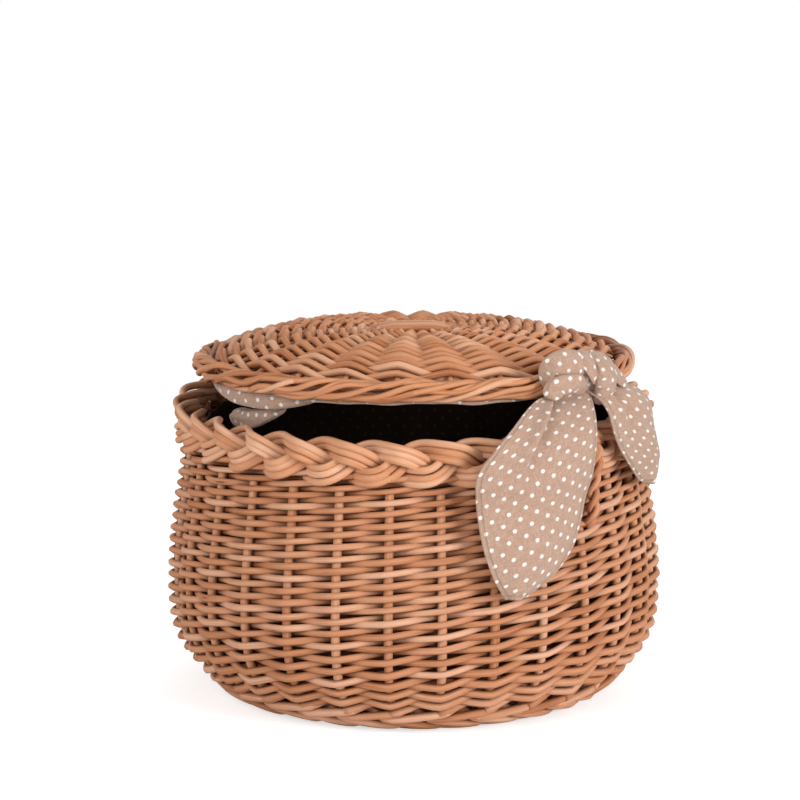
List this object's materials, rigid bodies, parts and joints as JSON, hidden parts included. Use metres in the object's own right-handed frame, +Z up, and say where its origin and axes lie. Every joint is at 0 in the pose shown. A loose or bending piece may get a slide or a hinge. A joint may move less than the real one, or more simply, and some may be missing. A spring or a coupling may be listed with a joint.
{
  "type": "onion basket",
  "caption": "Round-bellied woven willow basket with a hinged domed lid, plaited rim, cotton lining and spotted cotton ties.",
  "frame": {"origin": "middle of the flat underside of the base, on the floor", "axes": "+Z up, -Y towards the front where the lid opens, +X to the right of someone facing the front"},
  "size_m": [0.2493, 0.2552, 0.1863],
  "materials": {
    "stake_willow": "buff willow rod, satin",
    "weave_willow": "buff willow rod, satin",
    "base_willow": "buff willow rod, satin",
    "border_willow": "buff willow rod, satin",
    "lid_willow": "buff willow rod, satin",
    "split_cane": "split willow skein, satin",
    "lining_cotton": "woven cotton with a white pin spot",
    "tie_cotton": "woven cotton with a white pin spot"
  },
  "bodies": {
    "basket": {"base_sticks_lower": "base_willow", "base_sticks_upper": "base_willow", "base_weaver_first": "base_willow", "base_weaver_second": "base_willow", "basket_liner": "lining_cotton", "rand_weave_high": "weave_willow", "rand_weave_low": "weave_willow", "rand_weave_middle": "weave_willow", "rim_border": "border_willow", "side_loop": "border_willow", "stake_01": "stake_willow", "stake_02": "stake_willow", "stake_03": "stake_willow", "stake_04": "stake_willow", "stake_05": "stake_willow", "stake_06": "stake_willow", "stake_07": "stake_willow", "stake_08": "stake_willow", "stake_09": "stake_willow", "stake_10": "stake_willow", "stake_11": "stake_willow", "stake_12": "stake_willow", "stake_13": "stake_willow", "stake_14": "stake_willow", "stake_15": "stake_willow", "stake_16": "stake_willow", "stake_17": "stake_willow", "stake_18": "stake_willow", "stake_19": "stake_willow", "stake_20": "stake_willow", "stake_21": "stake_willow", "stake_22": "stake_willow", "stake_23": "stake_willow", "stake_24": "stake_willow", "stake_25": "stake_willow", "stake_26": "stake_willow", "stake_27": "stake_willow", "stake_28": "stake_willow", "stake_29": "stake_willow", "wale_weave": "weave_willow"},
    "lid": {"hinge_ring_left": "split_cane", "hinge_ring_right": "split_cane", "left_tie_knot": "tie_cotton", "left_tie_roll": "tie_cotton", "lid_border": "border_willow", "lid_lining": "lining_cotton", "lid_sticks_lower": "lid_willow", "lid_sticks_upper": "lid_willow", "lid_weaver_first": "lid_willow", "lid_weaver_second": "lid_willow", "right_tie_front_tail": "tie_cotton", "right_tie_knot": "tie_cotton", "right_tie_side_tail": "tie_cotton"}
  },
  "joints": [
    {"name": "lid_hinge", "type": "hinge", "parent": "basket", "child": "lid", "pos_m": [0, 0.113, 0.1505], "axis": [-1, 0, 0], "range_deg": [-2.4, 100]}
  ]
}
